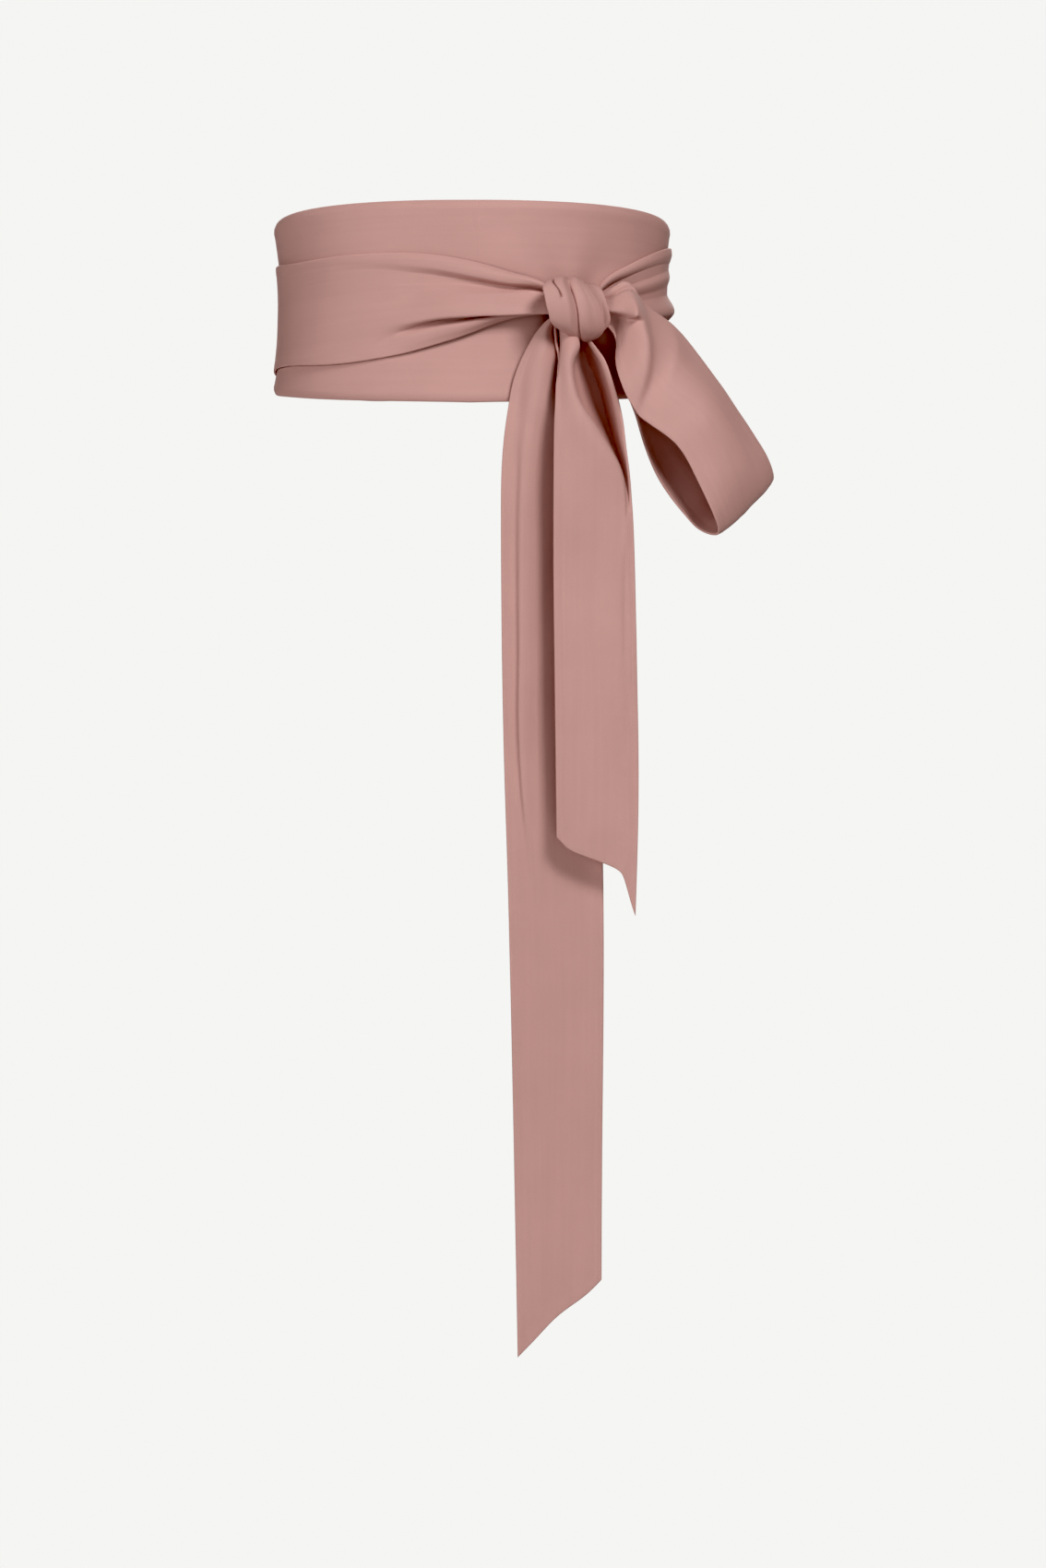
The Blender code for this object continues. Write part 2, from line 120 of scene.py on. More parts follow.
studio = bpy.data.worlds.new("studio")
studio.use_nodes = True
scene.world = studio
air = studio.node_tree
glow = air.nodes["Background"]
glow.inputs["Color"].default_value = AMBIENT_COLOUR
glow.inputs["Strength"].default_value = AMBIENT
backdrop = air.nodes.new("ShaderNodeBackground")
backdrop.inputs["Color"].default_value = PALE
seen = air.nodes.new("ShaderNodeLightPath")
either = air.nodes.new("ShaderNodeMixShader")
air.links.new(seen.outputs["Is Camera Ray"], either.inputs["Fac"])
air.links.new(glow.outputs["Background"], either.inputs[1])
air.links.new(backdrop.outputs["Background"], either.inputs[2])
air.links.new(either.outputs["Shader"], air.nodes["World Output"].inputs["Surface"])

# The lamps: a soft key from the upper right, a broad low fill from the left, a weak one from below, and one
# behind that lights only the back. Each row gives the name, the degrees round from the front and up, the
# distance and the size in metres, and the watts.
LAMPS = (
    ("key", 33, 37, 2.5, 0.75, 47.0),
    ("fill", -48, 10, 2.5, 1.3, 35.0),
    ("low", 5, -12, 2.5, 1.2, 12.0),
    ("back", 180, 32, 2.5, 2.0, 60.0),
)
AIM = Vector((0.02, -0.09, -0.12))
for name, azimuth, elevation, distance, size, watts in LAMPS:
    lamp = bpy.data.objects.new(name, bpy.data.lights.new(name, "AREA"))
    lamp.data.size = size
    lamp.data.energy = watts
    side, rise = math.radians(azimuth), math.radians(elevation)
    way = Vector((math.sin(side) * math.cos(rise), -math.cos(side) * math.cos(rise), math.sin(rise)))
    lamp.location = AIM + way * distance
    lamp.rotation_euler = way.to_track_quat("Z", "Y").to_euler()
    scene.collection.objects.link(lamp)

# The front panel: two layers of crepe, turned and pressed, with a seam down the centre front. It lies round
# the waist and tapers at both ends to the width of a tie.
MM = 0.001
WAIST_HALF_WIDTH = 128.6
WAIST_HALF_DEPTH = 93.0
WAIST_LEVEL = 4.0
WAIST_FLARE_SIDE = 4.9
WAIST_FLARE_FRONT = 3.0
WAIST_FLARE_REACH = 55.0
WAIST_MEAN_SHARE = 0.85
PANEL_WALL = 1.5
PANEL_END = 126.0
PANEL_CLEARANCE = 0.1
PANEL_RIPPLE_STRETCH = 0.35
CENTRE_SEAM = 2.0
SEAM_DEPTH, SEAM_SPREAD = 0.22, 0.45
SEAM_FADE_LEVEL, SEAM_FADE_HEIGHT = 16.0, 14.0
SEAM_BAND, SEAM_ROWS = 0.006, 17
EDGE_ROLL, EDGE_WIDTH = 2.4, 5.0
ROLL_END, ROLL_FADE = 96.0, 22.0
DRAG_DEPTH, DRAG_COUNT, DRAG_PHASE = 0.75, 7, 2.7
DRAG_START, DRAG_REACH = 30.0, 62.0
KNOT_ANGLE = 30.0
KNOT_LEVEL = -5.6


def smooth(share):
    """0 below 0, 1 above 1, and a soft step between them."""
    share = np.clip(share, 0.0, 1.0)
    return share * share * (3 - 2 * share)


def unit(vector):
    """The vector at length 1, along its last axis."""
    return vector / np.maximum(np.linalg.norm(vector, axis=-1, keepdims=True), 1e-12)


def table(names, *rows):
    """A table with named columns: each name gives its column as an array."""
    return dict(zip(names.split(), np.array(rows, float).T))


def curve(where, values, at):
    """The natural cubic spline through (where, values), read at the places in at."""
    order = np.argsort(where)
    x, y = np.asarray(where, float)[order], np.asarray(values, float)[order]
    h = np.diff(x)
    slope = np.diff(y) / h
    n = len(x)
    system = np.eye(n)
    right = np.zeros(n)
    for i in range(1, n - 1):
        system[i, i - 1 : i + 2] = h[i - 1], 2 * (h[i - 1] + h[i]), h[i]
        right[i] = 6 * (slope[i] - slope[i - 1])
    bend = np.linalg.solve(system, right)
    at = np.clip(np.asarray(at, float), x[0], x[-1])
    i = np.clip(np.searchsorted(x, at) - 1, 0, n - 2)
    a, b = x[i + 1] - at, at - x[i]
    cubic = (bend[i] * a**3 + bend[i + 1] * b**3) / (6 * h[i])
    return cubic + (y[i] / h[i] - bend[i] * h[i] / 6) * a + (y[i + 1] / h[i] - bend[i + 1] * h[i] / 6) * b


def waist(angle, level, out):
    """Points at an angle from the front, at a level, and this far out from the oval of the waist.

    The oval widens with the square of the distance from its narrowest level.
    """
    rise = ((level - WAIST_LEVEL) / WAIST_FLARE_REACH) ** 2
    wide = WAIST_HALF_WIDTH + WAIST_FLARE_SIDE * rise
    deep = WAIST_HALF_DEPTH + WAIST_FLARE_FRONT * rise
    turn = np.radians(angle)
    normal = unit(np.stack([np.sin(turn) * deep, -np.cos(turn) * wide, np.zeros(turn.shape)], -1))
    surface = np.stack([np.sin(turn) * wide, -np.cos(turn) * deep, level], -1)
    return surface + normal * np.asarray(out)[..., None]


RIM_STEPS = 0.0, 0.07, 0.25, 0.55, 1.0


def edged(count, length):
    """Shares from 0 to 1 of a span that long: even inside, and at RIM_STEPS millimetres from each end."""
    rim = np.array(RIM_STEPS) / length
    return np.concatenate([rim[:-1], np.linspace(rim[-1], 1 - rim[-1], count), 1 - rim[-2::-1]])


def grid(rows, length, columns, width, crowding=1.0):
    """The shares along and across a strip, as a column and a row.

    Crowding is a power of the shares along, and above 1 it packs the rows near the start.
    """
    return edged(rows, length)[:, None] ** crowding, edged(columns, width)[None, :]


RIPPLE_WAVES = 14
RIPPLE_SIZES = 0.7, 1.5


def ripples(along, across, size, depth, seed):
    """Faint waves: the sum of sines in all directions, divided by the root of their number.

    Each is of about the same size. The size and the depth are in millimetres.
    """
    dice = np.random.default_rng(seed)
    total = 0.0
    for _ in range(RIPPLE_WAVES):
        turn, phase = dice.uniform(0, 2 * math.pi, 2)
        wave = size * dice.uniform(*RIPPLE_SIZES)
        total = total + np.sin(2 * math.pi * (along * np.cos(turn) + across * np.sin(turn)) / wave + phase)
    return depth * total / math.sqrt(RIPPLE_WAVES)


def measured(points):
    """The distance run along and across the grid, in millimetres, and the distance from the nearest rim."""
    steps_along = np.linalg.norm(np.diff(points, axis=0, prepend=points[:1]), axis=-1)
    steps_across = np.linalg.norm(np.diff(points, axis=1, prepend=points[:, :1]), axis=-1)
    along, across = np.cumsum(steps_along, 0), np.cumsum(steps_across, 1)
    rim = np.minimum(np.minimum(along, along[-1:] - along), np.minimum(across, across[:, -1:] - across))
    return along, across, rim


def moved(points, amount):
    """The grid with each point moved along the unit normal, the cross product of its two directions."""
    normal = unit(np.cross(np.gradient(points, axis=0), np.gradient(points, axis=1)))
    return points + normal * np.asarray(amount)[..., None]


RIM_ROUND = 0.7
HEM_WIDTH, HEM_FADE = 6.0, 2.0
HEM_LIFT = 0.16


def cloth(name, points, wall):
    """A closed double layer with the grid of points as its middle, round at its rims.

    The outer layer lies half a wall out along the normals and the inner one half a wall in. Within RIM_ROUND
    walls of the rim the half wall follows a quarter circle down to nothing, and over the turned hem it is a
    little thicker.
    """
    along, across, rim = measured(points)
    edge = np.sqrt(1 - (1 - np.clip(rim / (wall * RIM_ROUND), 0, 1)) ** 2)
    hem = 1 - smooth((rim - HEM_WIDTH + HEM_FADE / 2) / HEM_FADE)
    half = wall / 2 * edge + HEM_LIFT * edge * hem
    outer, inner = moved(points, half), moved(points, -half)
    rows, columns = rim.shape
    index = np.arange(rows * columns).reshape(rows, columns)
    twin = index.copy()
    twin[1:-1, 1:-1] = rows * columns + np.arange((rows - 2) * (columns - 2)).reshape(rows - 2, columns - 2)
    quads = [
        np.stack([layer[:-1, :-1], layer[1:, :-1], layer[1:, 1:], layer[:-1, 1:]], -1).reshape(-1, 4)
        for layer in (index, twin)
    ]
    faces = np.concatenate([quads[0], quads[1][:, ::-1]])
    places = np.concatenate([outer.reshape(-1, 3), inner[1:-1, 1:-1].reshape(-1, 3)]) * MM

    def both(values):
        """The values of the outer layer and of the inner one, in metres."""
        return np.concatenate([values.ravel(), values[1:-1, 1:-1].ravel()]) * MM

    mesh = bpy.data.meshes.new(name)
    mesh.vertices.add(len(places))
    mesh.vertices.foreach_set("co", places.ravel())
    mesh.loops.add(faces.size)
    mesh.loops.foreach_set("vertex_index", faces.ravel())
    mesh.polygons.add(len(faces))
    mesh.polygons.foreach_set("loop_start", np.arange(0, faces.size, 4))
    mesh.update(calc_edges=True)
    cut = mesh.uv_layers.new(name="cut")
    flat = np.stack([both(across), both(along)], -1)[faces.ravel()]
    cut.data.foreach_set("uv", flat.ravel())
    from_rim = mesh.attributes.new("from_rim", "FLOAT", "POINT")
    from_rim.data.foreach_set("value", both(rim).astype(np.float32))
    mesh.shade_smooth()
    piece = bpy.data.objects.new(name, mesh)
    scene.collection.objects.link(piece)
    piece.data.materials.append(ROSE_CREPE)
    return piece


# The crepe: its scales are for coordinates in metres. A pair named SPAN is what a value runs over, and the
# pairs of the last two lines are what it becomes there.
ROSE = (0.485, 0.283, 0.256)
GLOSS = 0.22
SHEEN, SHEEN_ROUGHNESS, SHEEN_TINT = 0.12, 0.45, (1.0, 0.84, 0.80, 1.0)
WEAVE_ACROSS, WEAVE_ALONG, WEAVE_WOBBLE = 560, 500, 1.2
PEBBLE_SCALE, PEBBLE_SQUEEZE = 1900, 0.6
GRAIN_STRENGTH, GRAIN_HEIGHT = 0.35, 0.00012
BLOTCH_SCALE, SLUB_SCALE = 14, (260, 9)
WEAVE_SPAN, NOISE_SPAN, GRAIN_SPAN, RIM_WEAR_AND_HIGHLIGHT_SPAN = (0, 1), (0.3, 0.7), (0.2, 1.0), (0.0, 0.0016)
WEAVE_SHARE, ROUGHNESS = (0, 0.5), (0.70, 0.58)
# The rims are made lighter: partly wear, partly a painted highlight where their rounded edges catch the
# light.
BLOTCH, SLUB, SPECKLE, RIM_WEAR_AND_HIGHLIGHT = (0.965, 1.035), (0.985, 1.015), (0.96, 1.03), (1.06, 1.0)


def rose_crepe():
    """Matt rose crepe: a pebbled grain over a fine weave, slightly uneven in colour, with a soft sheen.

    The rose is multiplied by blotches, slubs and the grain's own speckle, and is lighter at the rims: partly
    wear, partly a painted highlight.
    """
    material = bpy.data.materials.new("rose crepe")
    material.use_nodes = True
    nodes, links = material.node_tree.nodes, material.node_tree.links
    shader = nodes["Principled BSDF"]
    shader.inputs["Specular IOR Level"].default_value = GLOSS
    shader.inputs["Sheen Weight"].default_value = SHEEN
    shader.inputs["Sheen Roughness"].default_value = SHEEN_ROUGHNESS
    shader.inputs["Sheen Tint"].default_value = SHEEN_TINT
    place = nodes.new("ShaderNodeTexCoord").outputs["Object"]
    cut_map = nodes.new("ShaderNodeUVMap")
    cut_map.uv_map = "cut"
    cut = cut_map.outputs["UV"]
    rim = nodes.new("ShaderNodeAttribute")
    rim.attribute_name = "from_rim"

    def noise(vector, scale, detail):
        """Soft noise over the vector, about 0.5."""
        node = nodes.new("ShaderNodeTexNoise")
        node.inputs["Scale"].default_value = scale
        node.inputs["Detail"].default_value = detail
        links.new(vector, node.inputs["Vector"])
        return node.outputs["Fac"]

    def stretched(vector, across, along):
        """The vector with its two parts scaled."""
        node = nodes.new("ShaderNodeMapping")
        node.inputs["Scale"].default_value = (across, along, 1.0)
        links.new(vector, node.inputs["Vector"])
        return node.outputs["Vector"]

    def spread(value, span, to):
        """The value carried in proportion from one span to another, and held at its ends."""
        node = nodes.new("ShaderNodeMapRange")
        for socket, number in zip(("From Min", "From Max", "To Min", "To Max"), (*span, *to)):
            node.inputs[socket].default_value = number
        links.new(value, node.inputs["Value"])
        return node.outputs["Result"]

    def joined(kind, one, other):
        """The sum or the product of two values."""
        node = nodes.new("ShaderNodeMath")
        node.operation = kind
        links.new(one, node.inputs[0])
        links.new(other, node.inputs[1])
        return node.outputs["Value"]

    def threads(direction, scale):
        """Slightly wavy bands over the cut cloth, one for each thread."""
        node = nodes.new("ShaderNodeTexWave")
        node.bands_direction = direction
        node.inputs["Scale"].default_value = scale
        node.inputs["Distortion"].default_value = WEAVE_WOBBLE
        node.inputs["Detail"].default_value = 1.0
        links.new(cut, node.inputs["Vector"])
        return node.outputs["Fac"]

    weave = joined("MULTIPLY", threads("X", WEAVE_ACROSS), threads("Y", WEAVE_ALONG))
    pebble = noise(stretched(cut, 1.0, PEBBLE_SQUEEZE), PEBBLE_SCALE, detail=2.0)
    grain = joined("ADD", spread(weave, WEAVE_SPAN, WEAVE_SHARE), pebble)
    bump = nodes.new("ShaderNodeBump")
    bump.inputs["Strength"].default_value = GRAIN_STRENGTH
    bump.inputs["Distance"].default_value = GRAIN_HEIGHT
    links.new(grain, bump.inputs["Height"])
    links.new(bump.outputs["Normal"], shader.inputs["Normal"])

    blotch = spread(noise(place, BLOTCH_SCALE, detail=3.0), NOISE_SPAN, BLOTCH)
    slub = spread(noise(stretched(cut, *SLUB_SCALE), 1.0, detail=3.0), NOISE_SPAN, SLUB)
    speckle = spread(grain, GRAIN_SPAN, SPECKLE)
    # Painted highlight, with some wear, along the rims: the colour is lighter within 1.6 mm of them.
    rim_wear_and_highlight = spread(rim.outputs["Fac"], RIM_WEAR_AND_HIGHLIGHT_SPAN, RIM_WEAR_AND_HIGHLIGHT)
    depth = joined("MULTIPLY", joined("MULTIPLY", blotch, slub), joined("MULTIPLY", speckle, rim_wear_and_highlight))
    tint = nodes.new("ShaderNodeVectorMath")
    tint.operation = "SCALE"
    tint.inputs[0].default_value = ROSE
    links.new(depth, tint.inputs["Scale"])
    links.new(tint.outputs["Vector"], shader.inputs["Base Color"])
    links.new(spread(grain, GRAIN_SPAN, ROUGHNESS), shader.inputs["Roughness"])
    return material


ROSE_CREPE = rose_crepe()
PANEL_SHAPE = table(
    "angle top bottom",
    (0, 66.4, -66.6),
    (30, 66.6, -64.2),
    (54, 65.7, -60.2),
    (68, 64.2, -57.2),
    (80, 62.2, -54.6),
    (90, 60.8, -51.5),
    (100, 60.4, -46.5),
    (112, 60.8, -34.0),
    (120, 61.2, -22.5),
    (PANEL_END, 61.5, -12.0),
)


def panel_surface(along, across):
    """Round the waist by angle and level. Drags fan out from the knot, and the centre seam is a groove.

    The drags are a cosine of the angle about the knot. They rise over DRAG_START millimetres and fade by
    DRAG_REACH. Both long edges are rolled in by a square within EDGE_WIDTH, except towards the ends.
    """
    angle = PANEL_END * (2 * along - 1)
    top, bottom = (
        curve(PANEL_SHAPE["angle"], PANEL_SHAPE[side], np.abs(angle)) for side in ("top", "bottom")
    )
    level = top + (bottom - top) * across
    round_it = np.radians(angle) * WAIST_HALF_WIDTH * WAIST_MEAN_SHARE + 0 * level
    aside = round_it - math.radians(KNOT_ANGLE) * WAIST_HALF_WIDTH * WAIST_MEAN_SHARE
    rise = level - KNOT_LEVEL
    reach = np.hypot(aside, rise)
    drags = DRAG_DEPTH * np.cos(DRAG_COUNT * np.arctan2(rise, aside) + DRAG_PHASE)
    drags = drags * np.exp(-((reach / DRAG_REACH) ** 2)) * smooth(reach / DRAG_START)
    seam = -SEAM_DEPTH * np.exp(-(((angle - CENTRE_SEAM) / SEAM_SPREAD) ** 2))
    seam = seam * smooth((level - SEAM_FADE_LEVEL) / SEAM_FADE_HEIGHT)
    rolled = EDGE_ROLL * np.clip(1 - np.minimum(top - level, level - bottom) / EDGE_WIDTH, 0, 1) ** 2
    rolled = rolled * (1 - smooth((np.abs(angle) - ROLL_END) / ROLL_FADE))
    uneven = ripples(round_it * PANEL_RIPPLE_STRETCH, level, size=32, depth=0.16, seed=3)
    out = PANEL_WALL / 2 + PANEL_CLEARANCE + drags + seam + uneven - rolled
    return waist(angle + 0 * level, level, out)


along, across = grid(rows=300, length=560, columns=56, width=130)
seam_share = (CENTRE_SEAM / PANEL_END + 1) / 2
near_seam = seam_share + np.linspace(-SEAM_BAND, SEAM_BAND, SEAM_ROWS)[:, None]
along = np.unique(np.concatenate([along, near_seam]), axis=0)
panel = cloth("front_panel", panel_surface(along, across), PANEL_WALL)
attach(panel, "root")
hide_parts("panel")

# The knot's hidden layers: the crepe ties' bunched ends, crossed and pulled tight. They fill the knot and
# just show between its turns. Each strand that leaves the knot starts STRAND_SINK millimetres inside them.
TIE_WALL = 1.4
KNOT_OUT = 18.5
CORE_SHIFT = -0.5
CORE_ACROSS, CORE_OUT, CORE_UP = 19.0, 10.5, 14.6
CORE_BLUNTNESS = 3.0
CORE_TIP = 0.4997
CORE_FOLDS, CORE_FOLD_DEPTH, CORE_TWIST, CORE_FOLD_POWER = 7, 0.05, 2.5, 6
CORE_HEAP, HEAP_MIDDLE, HEAP_REACH = 0.27, -0.52, 0.44
FAR_FROM_RIM = 0.01
STRAND_SINK = 1.6
TURN = math.radians(KNOT_ANGLE)
KNOT_NORMAL = unit(np.array([math.sin(TURN) * WAIST_HALF_DEPTH, -math.cos(TURN) * WAIST_HALF_WIDTH, 0.0]))
KNOT_ACROSS = np.array([-KNOT_NORMAL[1], KNOT_NORMAL[0], 0.0])
UP = np.array([0.0, 0.0, 1.0])
KNOT_MIDDLE = waist(np.array(KNOT_ANGLE), np.array(KNOT_LEVEL), np.array(KNOT_OUT))


def at_knot(across, out, up):
    """Points measured from the knot's middle: across the waist, out from it and up."""
    across, out, up = (part[..., None] for part in np.broadcast_arrays(across, out, up))
    return KNOT_MIDDLE + across * KNOT_ACROSS + out * KNOT_NORMAL + up * UP


def core_fit(points, gap):
    """How far points are from the core's middle, where 1 is its surface grown by a gap."""
    from_middle = points - KNOT_MIDDLE
    across = np.abs(from_middle @ KNOT_ACROSS - CORE_SHIFT) / (CORE_ACROSS + gap)
    round_it = np.hypot(from_middle @ KNOT_NORMAL / (CORE_OUT + gap), from_middle @ UP / (CORE_UP + gap))
    return (across**CORE_BLUNTNESS + round_it**CORE_BLUNTNESS) ** (1 / CORE_BLUNTNESS)


def core_surface(rings, segments):
    """A blunt egg across the waist, with shallow folds that wind round it like the bunched layers.

    The folds are a cosine of the turn and fade out at the tips. The top is heaped up on the left, by a bell
    of the share along the egg, to fill the hollow under the front turn.
    """
    turn = np.linspace(0, 2 * math.pi, segments + 1)[None, :]
    share = np.sin(np.linspace(-CORE_TIP, CORE_TIP, rings) * math.pi)[:, None]
    size = (1 - np.abs(share) ** CORE_BLUNTNESS) ** (1 / CORE_BLUNTNESS)
    wound = 1 + np.cos(CORE_FOLDS * turn + CORE_TWIST * share)
    size = size * (1 - CORE_FOLD_DEPTH * wound * (1 - share**CORE_FOLD_POWER))
    heap = np.clip(1 - ((share - HEAP_MIDDLE) / HEAP_REACH) ** 2, 0, 1) ** 2 * np.clip(np.sin(turn), 0, 1)
    up = CORE_UP * size * np.sin(turn) * (1 + CORE_HEAP * heap)
    return at_knot(CORE_SHIFT + CORE_ACROSS * share, CORE_OUT * size * np.cos(turn), up)


def closed_round(name, points):
    """A closed skin on a grid whose last column is its first again, with both ends closed by a fan."""
    rows, columns = points.shape[0], points.shape[1] - 1
    body = points[:, :-1].reshape(-1, 3)
    index = np.arange(rows * columns).reshape(rows, columns)
    beside = np.roll(index, -1, axis=1)
    quads = np.stack([index[:-1], index[1:], beside[1:], beside[:-1]], -1).reshape(-1, 4).tolist()
    tips = np.stack([points[0, :-1].mean(0), points[-1, :-1].mean(0)])
    places = np.concatenate([body, tips]) * MM
    first = np.stack([np.full(columns, len(body)), index[0], beside[0]], -1)
    last = np.stack([np.full(columns, len(body) + 1), beside[-1], index[-1]], -1)
    mesh = bpy.data.meshes.new(name)
    mesh.from_pydata(places.tolist(), [], quads + first.tolist() + last.tolist())
    flat = mesh.uv_layers.new(name="cut")
    loops = np.zeros(len(mesh.loops), int)
    mesh.loops.foreach_get("vertex_index", loops)
    ring, place = np.divmod(np.minimum(loops, len(body) - 1), columns)
    flat.data.foreach_set("uv", (np.stack([place, ring], -1) * MM).ravel())
    from_rim = mesh.attributes.new("from_rim", "FLOAT", "POINT")
    from_rim.data.foreach_set("value", np.full(len(mesh.vertices), FAR_FROM_RIM, np.float32))
    mesh.shade_smooth()
    piece = bpy.data.objects.new(name, mesh)
    scene.collection.objects.link(piece)
    piece.data.materials.append(ROSE_CREPE)
    return piece


core = closed_round("knot_inner_layers", core_surface(rings=60, segments=96))
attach(core, "root")
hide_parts("knot_core")

# The left wrap: the crepe tie laid from the knot over the left side and across the back, and sewn to the
# panel's end with a lap of SEAM_LAP. Its folds deepen towards the knot, where the main one rolls over the
# cloth below it. At the back it changes places with the right wrap, which laps it by CROSSING_LAP.
LAYER_GAP = 0.7
OVER_PANEL = PANEL_WALL + LAYER_GAP
CROSSING_LEVEL = 4.0
CROSSING_LAP = 0.4, 2.0
FOLD_SHARE = 0.74
WRAP_CLEARANCE = 0.12
RIPPLE_RADIUS = 45.0
SEAT_STEPS = 801
SEAM_LAP = 0.4
SEAM_TURN = math.degrees(SEAM_LAP / WAIST_HALF_WIDTH)
LEFT_WRAP_SHAPE = table(
    "angle top line bottom out",
    (387, 3.0, 0.86, -8.6, 12.5),
    (382, 9.5, 0.89, -8.9, 9.5),
    (377.5, 14.8, 0.89, -9.3, 7.0),
    (373.3, 17.6, 0.848, -10.6, 5.2),
    (365.5, 23.0, 0.712, -16.2, 4.0),
    (356.5, 28.0, 0.626, -24.2, 3.4),
    (350, 30.6, 0.622, -28.7, 3.0),
    (343, 32.2, 0.649, -33.0, 2.6),
    (335, 32.9, 0.67, -36.2, OVER_PANEL),
    (319, 32.7, 0.70, -39.3, OVER_PANEL),
    (295, 31.4, FOLD_SHARE, -37.2, OVER_PANEL),
    (270, 33.0, FOLD_SHARE, -38.0, OVER_PANEL),
    (245, 23.0, FOLD_SHARE, -43.5, OVER_PANEL),
    (227, 11.5, FOLD_SHARE, -47.5, OVER_PANEL),
    (215, CROSSING_LEVEL, FOLD_SHARE, -49.0, OVER_PANEL),
    (205, CROSSING_LEVEL, FOLD_SHARE, -48.5, OVER_PANEL / 2),
    (195, CROSSING_LEVEL, FOLD_SHARE, -46.0, 0.0),
    (180, 14.0, FOLD_SHARE, -38.0, 0.0),
    (165, 30.0, FOLD_SHARE, -27.0, 0.0),
    (148, 48.0, FOLD_SHARE, -17.0, 0.0),
    (PANEL_END - SEAM_TURN, 61.5, FOLD_SHARE, -12.0, 0.0),
)


def folded(*folds):
    """One table for each fold of a strip, read along the strip.

    It gives the share of the width at which the fold's line lies, the width of its bell above and below the
    line, and how far it pushes the cloth out and leans across it.
    """
    return [table("at share above below push lean", *rows) for rows in folds]


LEFT_WRAP_FOLDS = folded(
    (  # the roll along the top edge
        (310, 0.06, 0.08, 0.14, 0.0, 0.0),
        (330, 0.08, 0.10, 0.16, 0.9, 0.0),
        (350, 0.13, 0.15, 0.26, 2.2, 0.0),
        (365, 0.15, 0.17, 0.28, 3.4, 0.0),
        (381, 0.05, 0.10, 0.14, 3.4, 0.0),
    ),
    (  # the valley below it
        (315, 0.15, 0.10, 0.12, 0.0, 0.0),
        (341, 0.23, 0.10, 0.16, -1.2, 0.0),
        (357, 0.32, 0.10, 0.16, -2.8, -0.6),
        (365, 0.33, 0.09, 0.14, -4.0, -0.9),
        (373, 0.275, 0.08, 0.11, -4.4, -0.9),
        (381, 0.16, 0.08, 0.09, -5.0, -0.6),
    ),
    (  # the main roll, which hangs over the cloth below it
        (318, FOLD_SHARE, 0.24, 0.22, 0.0, 0.0),
        (327, FOLD_SHARE, 0.24, 0.20, 0.8, 0.3),
        (335, FOLD_SHARE, 0.26, 0.14, 2.2, 1.0),
        (343, FOLD_SHARE, 0.30, 0.09, 5.0, 3.2),
        (350, FOLD_SHARE, 0.36, 0.075, 7.4, 5.2),
        (357, FOLD_SHARE, 0.42, 0.07, 8.8, 6.2),
        (365.5, FOLD_SHARE, 0.46, 0.075, 8.8, 5.2),
        (373.3, FOLD_SHARE, 0.48, 0.10, 7.4, 3.0),
        (387, FOLD_SHARE, 0.48, 0.14, 5.0, 1.0),
    ),
    (  # the low ridge under it
        (336, 0.885, 0.07, 0.12, 0.0, 0.0),
        (348, 0.890, 0.06, 0.12, 3.0, 0.0),
        (359, 0.900, 0.055, 0.11, 4.8, 0.0),
        (368, 0.905, 0.05, 0.10, 4.0, 0.0),
        (378, 0.910, 0.05, 0.09, 0.0, 0.0),
    ),
)


def folds(tables, across, along):
    """How far the folds push the cloth out, and how far they lean across it, at each point of the grid.

    Each fold adds its push and its lean times a bell across its line. The bell is the square of one less the
    square of the distance, which is 1 at the bell's rim.
    """
    shape = np.broadcast(across, along).shape
    out, lean = np.zeros(shape), np.zeros(shape)
    for fold in tables:
        line, above, below, push, over = (
            curve(fold["at"], fold[name], along) for name in ("share", "above", "below", "push", "lean")
        )
        bell = np.clip(1 - ((across - line) / np.where(across < line, above, below)) ** 2, 0, None) ** 2
        out, lean = out + push * bell, lean + over * bell
    return out, lean


def seated(surface, along, across, both_ends=False):
    """The surface's grid, with each column cut off a little inside the core, where it can't be seen."""
    fine = np.linspace(0, 1, SEAT_STEPS)[:, None]
    inside = core_fit(surface(fine, across), TIE_WALL / 2 - STRAND_SINK) < 1
    first = fine < 0.5
    start = np.max(np.where(inside & first, fine, 0.0), axis=0)
    stop = np.min(np.where(inside & ~first, fine, 1.0), axis=0) if both_ends else 1.0
    return surface(start + (stop - start) * along, across)


def wrap_surface(shape, fold_tables, along, across, seed):
    """A tie laid round the waist: its levels and its distance out are curves of the angle, plus its folds.

    The cloth at the share of its main fold lies at the share of the height that the column line gives.
    """
    angle = shape["angle"][0] + (shape["angle"][-1] - shape["angle"][0]) * along
    top, line, bottom, out = (
        curve(shape["angle"], shape[name], angle) for name in ("top", "line", "bottom", "out")
    )
    push, drop = folds(fold_tables, across, angle)
    above = line * np.minimum(across / FOLD_SHARE, 1)
    below = (1 - line) * np.maximum((across - FOLD_SHARE) / (1 - FOLD_SHARE), 0)
    level = top + (bottom - top) * (above + below) - drop
    lift = np.maximum(out + push, np.minimum(out, OVER_PANEL))
    round_it = np.radians(angle) * RIPPLE_RADIUS + 0 * level
    uneven = WRAP_CLEARANCE + ripples(round_it, level, size=30, depth=0.13, seed=seed)
    return waist(angle + 0 * level, level, lift + TIE_WALL / 2 + uneven)


def left_wrap(along, across):
    """The left tie's wrap, by its own curves and folds."""
    return wrap_surface(LEFT_WRAP_SHAPE, LEFT_WRAP_FOLDS, along, across, seed=5)


along, across = grid(rows=290, length=560, columns=100, width=72, crowding=1.3)
left = cloth("left_tie_wrap", seated(left_wrap, along, across), TIE_WALL)
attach(left, "root")
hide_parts("left_wrap")

